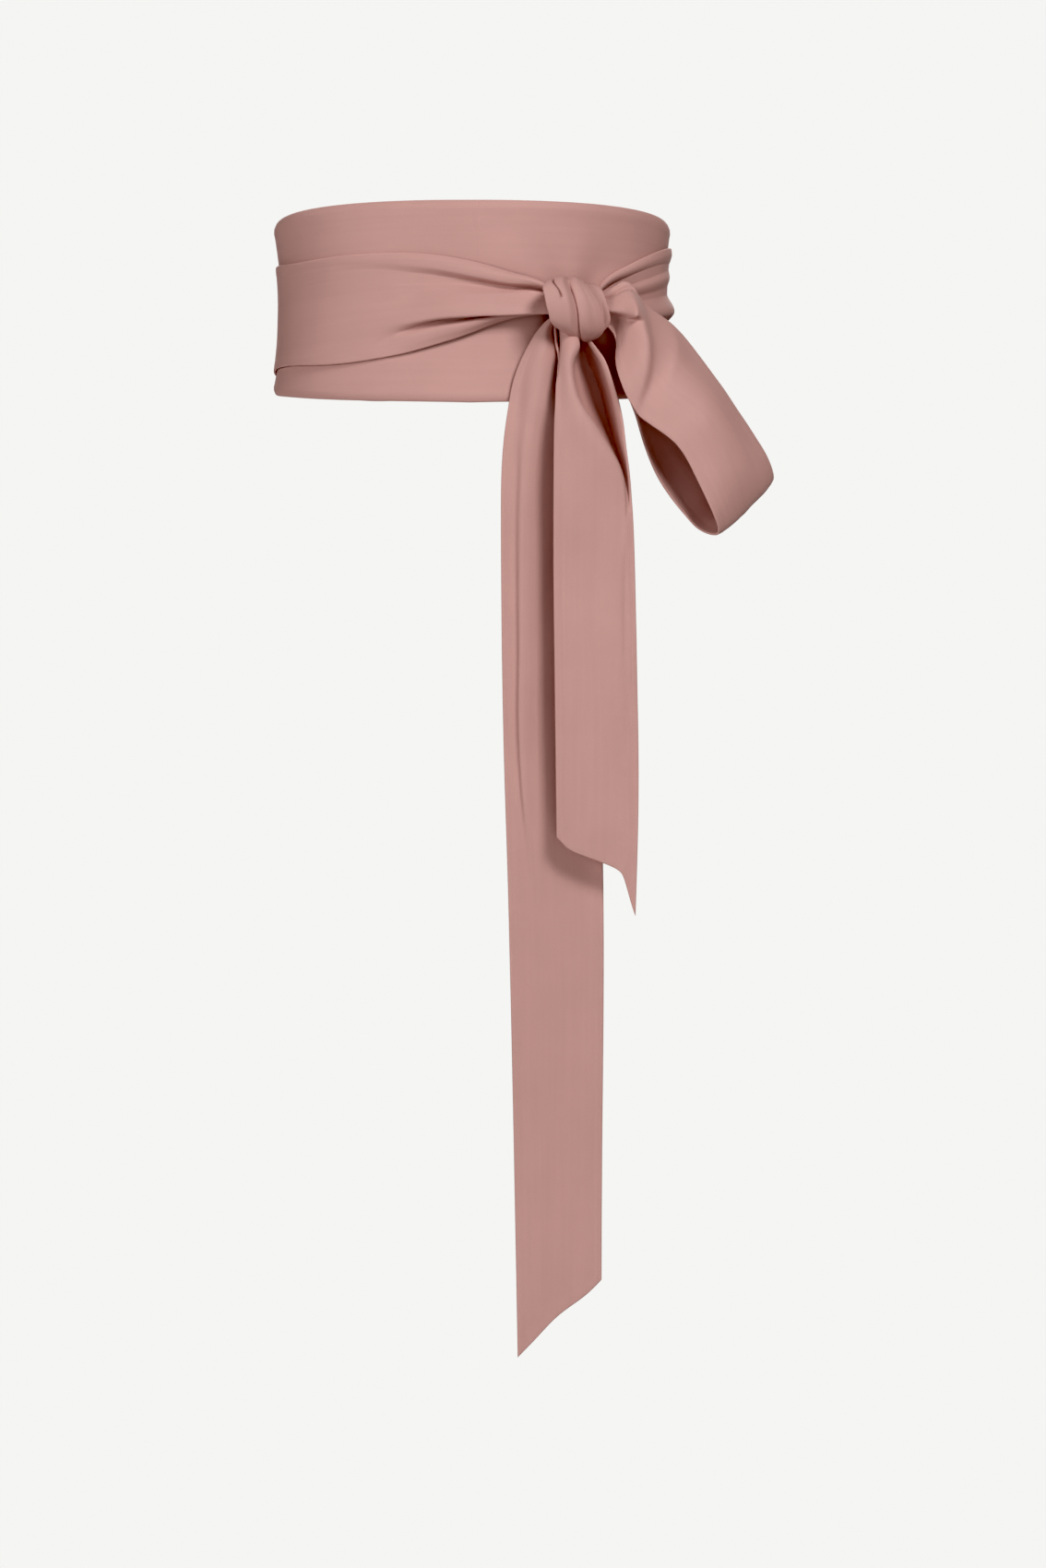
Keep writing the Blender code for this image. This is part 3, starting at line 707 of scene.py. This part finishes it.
# The right wrap: the other crepe tie, laid from the knot round the right side and across the back, and sewn
# to the panel's other end. Near the knot it bulges over the cloth below it.
RIGHT_WRAP_SHAPE = table(
    "angle top line bottom out",
    (36, 6.0, FOLD_SHARE, -4.0, 11.0),
    (41, 16.0, FOLD_SHARE, -6.0, 6.0),
    (49, 25.5, FOLD_SHARE, -8.0, 3.0),
    (63, 37.0, FOLD_SHARE, -8.0, OVER_PANEL),
    (90, 47.0, FOLD_SHARE, -4.0, OVER_PANEL),
    (110, 48.5, FOLD_SHARE, -6.0, OVER_PANEL),
    (135, 49.5, FOLD_SHARE, -7.0, OVER_PANEL),
    (160, 51.0, FOLD_SHARE, -6.0, OVER_PANEL),
    (180, 53.0, FOLD_SHARE, -2.0, OVER_PANEL),
    (195, 56.0, FOLD_SHARE, CROSSING_LEVEL - CROSSING_LAP[1], OVER_PANEL),
    (205, 58.0, FOLD_SHARE, CROSSING_LEVEL - CROSSING_LAP[0], OVER_PANEL / 2),
    (215, 60.0, FOLD_SHARE, CROSSING_LEVEL - CROSSING_LAP[1], 0.0),
    (223, 61.0, FOLD_SHARE, -1.0, 0.0),
    (360 - PANEL_END + SEAM_TURN, 61.5, FOLD_SHARE, -12.0, 0.0),
)
RIGHT_WRAP_FOLDS = folded(
    (  # the roll along the top edge
        (36, 0.10, 0.12, 0.14, 2.2, 0.0),
        (60, 0.10, 0.12, 0.14, 1.8, 0.0),
        (90, 0.10, 0.12, 0.14, 1.0, 0.0),
        (120, 0.10, 0.12, 0.14, 0.0, 0.0),
    ),
    (  # the valley below it
        (36, 0.32, 0.12, 0.14, -2.0, 0.0),
        (55, 0.28, 0.12, 0.15, -2.4, 0.0),
        (76, 0.28, 0.12, 0.15, -1.2, 0.0),
        (100, 0.28, 0.12, 0.15, 0.0, 0.0),
    ),
    (  # the ridge in the middle
        (45, 0.48, 0.12, 0.12, 0.5, 0.0),
        (64, 0.45, 0.14, 0.14, 2.4, 0.0),
        (90, 0.38, 0.16, 0.14, 1.2, 0.0),
        (112, 0.36, 0.16, 0.14, 0.0, 0.0),
    ),
    (  # the bulge over the cloth below
        (45, 0.86, 0.20, 0.15, 3.5, 0.5),
        (62, 0.86, 0.20, 0.14, 5.2, 1.2),
        (90, 0.83, 0.22, 0.16, 5.2, 0.8),
        (108, 0.83, 0.24, 0.16, 3.6, 0.3),
        (140, 0.84, 0.24, 0.16, 0.0, 0.0),
    ),
)


def right_wrap(along, across):
    """The right tie's wrap, by its own curves and folds."""
    return wrap_surface(RIGHT_WRAP_SHAPE, RIGHT_WRAP_FOLDS, along, across, seed=8)


along, across = grid(rows=260, length=460, columns=60, width=52, crowding=1.3)
right = cloth("right_tie_wrap", seated(right_wrap, along, across), TIE_WALL)
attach(right, "root")
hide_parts("right_wrap")

# The knot's front turn: the crepe tie pulled over the hidden layers and down. One deep crease parts it into
# two lobes, and a short slit opens at its top left. The side turn is a narrow lobe that shows to its right.
KNOT_WALL = 1.6
CREASE_FADE = 0.9
TUCK_POWER = 4
FRONT_OUT, FRONT_UP = 17.4, 21.4
FRONT_TUCKS = 4.8, 2.4
FRONT_TURN = table(
    "turn left right",
    (140, -16, -1),
    (90, -21, -1),
    (50, -29.5, 1),
    (24, -30, 4.5),
    (0, -29, 8.5),
    (-20, -27, 11),
    (-40, -24, 13),
    (-60, -16, 12.5),
    (-82, -6, 9),
)
FRONT_CREASES = folded(
    (  # the hollow on both sides of the long crease
        (-100, 0.44, 0.20, 0.20, -2.8, 0.0),
        (0, 0.56, 0.20, 0.20, -2.6, 0.0),
        (70, 0.60, 0.18, 0.22, -2.8, 0.0),
    ),
    (  # the crease itself
        (-100, 0.46, 0.04, 0.04, -3.4, 0.0),
        (0, 0.575, 0.05, 0.04, -3.0, 0.0),
        (30, 0.60, 0.07, 0.06, -1.6, 0.0),
        (60, 0.60, 0.10, 0.10, 0.0, 0.0),
    ),
    (  # the lobe on its right, which leans over it
        (-100, 0.53, 0.05, 0.16, 1.0, -1.8),
        (20, 0.65, 0.06, 0.16, 1.0, -1.8),
        (60, 0.68, 0.08, 0.18, 0.6, 0.0),
    ),
    (  # the slit at the top left
        (12, 0.29, 0.06, 0.07, 0.0, 0.0),
        (26, 0.26, 0.06, 0.08, -4.4, 0.0),
        (45, 0.21, 0.07, 0.09, -7.0, 0.0),
        (90, 0.15, 0.07, 0.10, -6.4, 0.0),
    ),
    (  # the curled lip on its left
        (10, 0.24, 0.12, 0.06, 0.0, 0.0),
        (26, 0.20, 0.12, 0.06, 1.2, 1.4),
        (45, 0.13, 0.12, 0.06, 1.2, 2.2),
        (90, 0.07, 0.10, 0.06, 0.6, 2.2),
    ),
)
SIDE_OUT, SIDE_UP = 12.5, 16.8
SIDE_TUCKS = 0.0, 0.4
SIDE_TURN = table(
    "turn left right",
    (130, -4, 7),
    (90, -2, 9),
    (50, 0, 12.5),
    (0, 4, 15.5),
    (-30, 6, 17.5),
    (-60, 4, 14),
    (-80, 1, 9),
)
SIDE_CREASES = folded(
    (  # the shallow hollow down its middle
        (-100, 0.55, 0.25, 0.25, -1.6, 0.0),
        (-20, 0.60, 0.25, 0.25, -1.2, 0.0),
        (60, 0.62, 0.25, 0.25, -0.4, 0.0),
    ),
)


def knot_turn(shape, creases, out, up, tucks, along, across):
    """A band of ellipse round the core, by the turn angle: 90 is its top, 0 its front, -90 its underside.

    Its two edges tuck in towards the core by the share across to the power TUCK_POWER, and the creases fade
    out above and below with the root of a cosine.
    """
    turn = shape["turn"][0] + (shape["turn"][-1] - shape["turn"][0]) * along
    left, right = (curve(shape["turn"], shape[name], turn) for name in ("left", "right"))
    angle = np.radians(turn)
    fade = np.sqrt(np.clip(np.cos(CREASE_FADE * angle), 0, 1))
    grow, lean = (part * fade for part in folds(creases, across, turn))
    size = grow - tucks[0] * (1 - across) ** TUCK_POWER - tucks[1] * across**TUCK_POWER
    side = left + (right - left) * across + lean
    return at_knot(side, (out + size) * np.cos(angle), (up + size) * np.sin(angle))


along, across = grid(rows=110, length=80, columns=110, width=40)
front = cloth(
    "knot_front_turn",
    knot_turn(FRONT_TURN, FRONT_CREASES, FRONT_OUT, FRONT_UP, FRONT_TUCKS, along, across),
    KNOT_WALL,
)
along, across = grid(rows=70, length=60, columns=30, width=12)
side = cloth(
    "knot_side_turn",
    knot_turn(SIDE_TURN, SIDE_CREASES, SIDE_OUT, SIDE_UP, SIDE_TUCKS, along, across),
    KNOT_WALL,
)
for turn, node, width, length in ((front, "knot_front", 0.040, 0.065), (side, "knot_side", 0.013, 0.040)):
    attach(turn, "root")
    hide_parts(node)

# The loop of the half bow: one strip of the crepe tie, pinched where it leaves the knot, turned round at its
# end and led back behind itself into the knot.
LOOP_NORMAL = np.array([0.479, -0.799, 0.318])
LOOP_LENGTHWAYS = np.array([0.554, 0.0, -0.833])
LOOP_CORNERS = 4
EASINGS = 3
LOOP_ROWS = table(
    "left_x left_y left_z right_x right_y right_z bulge reach",
    (84, -97, -13, 83, -94, 4, 0, 0),
    (92.5, -91, -17, 90.5, -92.5, 7, 3, 0),
    (95.5, -92, -24, 99, -90, 13, 6, 0),
    (95.2, -102, -37, 111, -87, 5, 9, 0),
    (98, -113.5, -54, 131, -81.5, -12, 11, 0),
    (109, -115, -75.5, 150, -81, -34, 11, 0),
    (131.5, -115, -93, 168, -81, -58, 11, 0),
    (147.7, -113, -117.6, 187, -80, -87, 8, 0),
    (159.6, -108, -142.5, 198, -76, -105, 3.5, 1.5),
    (161.5, -98, -153.5, 200, -67, -115, 0, 2.5),
    (152, -93, -151, 193.5, -59, -111, -2, 1.5),
    (142.5, -94, -142, 184, -58, -99, -3, 0),
    (127.5, -95, -123, 168, -57, -78, -5, 0),
    (115.5, -97, -98.5, 150, -61, -55, -5, 0),
    (108, -98, -74, 133, -68, -32, -4, 0),
    (99, -97, -48, 116, -76, -11, -2, 0),
    (94, -93, -22, 99, -84, 4, 0, 0),
    (84, -93, -11, 84, -91, 2, 0, 0),
)
LOOP_FOLDS = folded(
    (  # the pinched lobe, which hangs over the cloth below it
        (0.0, 0.42, 0.10, 0.50, 5.0, -2.4),
        (0.024, 0.42, 0.08, 0.55, 9.6, -5.0),
        (0.043, 0.42, 0.075, 0.56, 12.4, -7.6),
        (0.062, 0.49, 0.080, 0.48, 11.8, -7.6),
        (0.080, 0.59, 0.095, 0.38, 6.4, -3.6),
        (0.098, 0.66, 0.11, 0.30, 1.6, -0.4),
        (0.125, 0.68, 0.10, 0.30, 0.0, 0.0),
    ),
    (  # the crest that runs down from it
        (0.070, 0.66, 0.24, 0.16, 0.0, 0.0),
        (0.100, 0.52, 0.30, 0.18, 2.2, 0.0),
        (0.137, 0.33, 0.30, 0.18, 3.0, 0.0),
        (0.175, 0.18, 0.24, 0.18, 2.0, 0.0),
        (0.225, 0.03, 0.20, 0.16, 0.0, 0.0),
    ),
    (  # the valley beside the crest
        (0.070, 0.98, 0.20, 0.24, 0.0, 0.0),
        (0.100, 0.86, 0.24, 0.30, -2.6, 0.0),
        (0.137, 0.66, 0.26, 0.36, -4.4, 0.0),
        (0.175, 0.42, 0.22, 0.40, -3.8, 0.0),
        (0.208, 0.16, 0.18, 0.34, -1.6, 0.0),
        (0.240, 0.00, 0.16, 0.30, 0.0, 0.0),
    ),
    (  # the short crease beside the rolled upper edge
        (0.0, 0.84, 0.08, 0.08, -1.4, 0.0),
        (0.024, 0.84, 0.08, 0.08, -2.6, 0.0),
        (0.040, 0.85, 0.06, 0.06, -3.4, 0.0),
        (0.056, 0.90, 0.06, 0.05, -3.0, 0.0),
        (0.075, 0.94, 0.06, 0.05, 0.0, 0.0),
    ),
)


def loop_surface(along, across):
    """The strip between its two edge lines, bulged by a half wave across, with folds added.

    At its turned end it reaches further in the middle than at the edges, which rounds the corners.
    """
    rows = LOOP_ROWS
    middle = np.stack([rows["left_" + axis] + rows["right_" + axis] for axis in "xyz"], -1) / 2
    steps = np.linalg.norm(np.diff(middle, axis=0), axis=-1)
    travel = np.concatenate([[0], np.cumsum(steps)]) / np.sum(steps)
    left, right = (
        np.stack([curve(travel, rows[side + axis], along) for axis in "xyz"], -1)
        for side in ("left_", "right_")
    )
    push, lean = folds(LOOP_FOLDS, across, along)
    bulge = curve(travel, rows["bulge"], along) * np.sin(math.pi * across) + push
    reach = curve(travel, rows["reach"], along) * (1 - np.abs(2 * across - 1) ** LOOP_CORNERS)
    strip = left + (right - left) * across[..., None] + unit(right - left) * lean[..., None]
    return strip + LOOP_NORMAL * bulge[..., None] + LOOP_LENGTHWAYS * reach[..., None]


def eased(points, times):
    """Each point moves half way to the middle of its neighbours across the strip, a few times over."""
    for _ in range(times):
        points[:, 1:-1] = points[:, 1:-1] / 2 + (points[:, :-2] + points[:, 2:]) / 4
    return points


along, across = grid(rows=260, length=420, columns=64, width=60)
loop_points = eased(seated(loop_surface, along, across, both_ends=True), EASINGS)
along_mm, across_mm, _ = measured(loop_points)
uneven = ripples(along_mm, across_mm, size=34, depth=0.18, seed=11)
loop = cloth("bow_loop", moved(loop_points, uneven), TIE_WALL)
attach(loop, "root")
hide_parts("loop")

# The two tails: the crepe ties' own ends, cut on a slant, which hang from the knot. The long one comes out
# below the left wrap and fans out over the panel. The short one hangs in front of it, from a deep fold.
TAIL_RIPPLE_STRETCH = 0.6
TAIL_COLUMNS, TAIL_WIDTH = 76, 60


def tail_surface(rows, shares, ends, crispness, along, across):
    """A hanging strip between lines that run down it, each at its own share of the width.

    The section is a mix of the spline through the lines and of straight sides between them, which make crisp
    folds. Each column ends at its own level, so the end slants.
    """
    level = rows["level"][0] + (ends[0] + (ends[1] - ends[0]) * across - rows["level"][0]) * along
    crisp = curve(crispness["level"], crispness["crisp"], level)
    x, y = 0.0, 0.0
    for line in range(len(shares)):
        lone = np.arange(len(shares)) == line
        weight = curve(shares, lone, across) * (1 - crisp) + np.interp(across, shares, lone) * crisp
        x = x + weight * curve(rows["level"], rows[f"x{line}"], level)
        y = y + weight * curve(rows["level"], rows[f"y{line}"], level)
    return np.stack([x, y, level], -1)


LONG_TAIL_ENDS = -694.0, -643.0
LONG_TAIL_CRISP = table("level crisp", (-5, 0.3), (-60, 0.1), (-120, 0.0), (-700, 0.0))
LONG_TAIL_LINES = 0.0, 0.26, 0.60, 0.76, 1.0
LONG_TAIL_ROWS = table(
    "level x0 y0 x1 y1 x2 y2 x3 y3 x4 y4",
    (-5, 62, -99, 64, -99.5, 66, -99, 66.5, -98, 67, -97),
    (-14, 50, -101, 52, -101.5, 53, -101.5, 54.2, -100, 56, -94),
    (-28, 39, -99.5, 43.5, -102.5, 49.5, -104, 53.4, -101, 58, -91),
    (-45, 30.6, -99, 36.5, -101.5, 46, -105, 52.6, -102, 60, -90.5),
    (-57, 27, -99.5, 34, -101.5, 44, -105.5, 51.6, -102.5, 61, -92),
    (-70, 24.8, -100, 33, -102, 43, -106, 51.4, -103, 63, -94),
    (-82, 23, -101, 32, -102.5, 43, -105, 53.5, -100, 65, -95),
    (-95, 21.5, -101, 31, -102.5, 43, -104, 56, -97, 68, -95),
    (-115, 20.3, -101.2, 30.5, -102, 42, -102.8, 57, -95, 72, -94),
    (-140, 20, -101.2, 30, -101.8, 41.5, -102.2, 58, -93.5, 76, -93),
    (-220, 20.5, -101.2, 30.5, -101.5, 41.5, -102, 60, -93, 82, -93),
    (-320, 22.5, -101, 32.5, -101.4, 44, -101.6, 64, -94.5, 86, -93),
    (-365, 24, -100, 36, -100, 51, -100, 69, -97, 87, -96),
    (-420, 25.5, -100, 39, -99, 58, -99.5, 72, -99.5, 87.5, -100),
    (-560, 28.5, -100, 42, -101, 61, -100, 73, -100, 86.5, -99),
    (-694, 31, -100, 44, -100, 62, -100, 73, -100, 86, -100),
)
SHORT_TAIL_ENDS = -352.5, -404.0
SHORT_TAIL_CRISP = table("level crisp", (-14, 0.8), (-60, 0.7), (-110, 0.5), (-180, 0.1), (-404, 0.0))
SHORT_TAIL_LINES = 0.0, 0.07, 0.15, 0.42, 0.50, 0.70, 0.90, 1.0
SHORT_TAIL_ROWS = table(
    "level x0 y0 x1 y1 x2 y2 x3 y3 x4 y4 x5 y5 x6 y6 x7 y7",
    (-14, 55, -99, 57, -93, 61, -101, 67, -101, 68, -96, 70, -92, 74, -96, 75, -97),
    (-22, 55.5, -100, 57.5, -92, 60.8, -103, 69, -104, 69.3, -94, 71, -87, 75.5, -96, 77, -97),
    (-30, 56.5, -102, 58, -92, 60, -106, 71, -108, 71.2, -92, 74.5, -82, 79, -98, 82, -100),
    (-38, 58, -105, 58.6, -99, 59.2, -109, 68, -110.5, 68.2, -92, 78, -79, 84.5, -101, 87.6, -103),
    (-48, 57, -110, 57.6, -109, 58.5, -111, 66.8, -112.5, 67, -93, 82.5, -78, 88.6, -103, 91.6, -105),
    (-58, 56, -112, 57, -112.5, 58.2, -113, 68.5, -114.5, 68.8, -94, 86, -78.5, 91.8, -104, 95, -106),
    (-70, 55.5, -114, 56.8, -114.5, 58.4, -115, 73, -116.5, 73.2, -96, 89, -81, 94.6, -105, 98, -108),
    (-80, 55, -115, 56.6, -116, 58.6, -116.5, 79.5, -117.5, 79.8, -98, 91.5, -86, 96.4, -106, 99.8, -110),
    (-94, 54.6, -116, 57, -116.5, 60, -117, 88, -117, 88.6, -103, 95, -95, 99, -108, 101.6, -110.5),
    (-109, 54.4, -116, 57.3, -116.5, 61, -117, 96.5, -115.5)
    + (97.2, -107, 100, -103, 102.2, -109.5, 103.4, -111),
    (-133, 54.3, -115, 57.5, -115.5, 62, -116, 100.5, -113.5)
    + (101.5, -112, 103.5, -111, 104.8, -111.5, 105.8, -111.5),
    (-170, 54.3, -114, 57.7, -114.3, 62, -114.5, 98, -113.5)
    + (100.5, -113, 103.5, -112.5, 106, -112, 107.5, -112),
    (-240, 55, -114, 58.6, -114, 63, -114, 97, -114, 100, -113.5, 104, -113, 107, -112.5, 109, -112),
    (-320, 56, -114, 59.6, -114, 64, -114, 97, -113, 100, -113, 104, -113, 108, -114, 110, -114),
    (-404, 57, -114, 60.5, -114, 65, -114, 97, -114, 100, -114, 103, -113.5, 106, -113, 108, -113),
)


def long_tail(along, across):
    """The long tail, by its own lines."""
    return tail_surface(LONG_TAIL_ROWS, LONG_TAIL_LINES, LONG_TAIL_ENDS, LONG_TAIL_CRISP, along, across)


def short_tail(along, across):
    """The short tail, by its own lines."""
    return tail_surface(SHORT_TAIL_ROWS, SHORT_TAIL_LINES, SHORT_TAIL_ENDS, SHORT_TAIL_CRISP, along, across)


# Each row gives the piece, its node and surface, its length, how its rows crowd, its seed and its cut.
TAILS = (
    ("long_tie_end", "long_tail", long_tail, 660, 1.25, 21, (0.068, 0.69), 0.041, ["front_panel"]),
    ("short_tie_end", "short_tail", short_tail, 380, 1.2, 23, (0.058, 0.39), 0.020, ["long_tie_end"]),
)
for name, node, surface, length, crowding, seed, flat, area, rests_on in TAILS:
    along, across = grid(length // 2, length, TAIL_COLUMNS, TAIL_WIDTH, crowding)
    points = seated(surface, along, across)
    along_mm, across_mm, _ = measured(points)
    uneven = ripples(along_mm * TAIL_RIPPLE_STRETCH, across_mm, size=36, depth=0.16, seed=seed)
    tail = cloth(name, moved(points, uneven), TIE_WALL)
    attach(tail, "root")
    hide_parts(node)
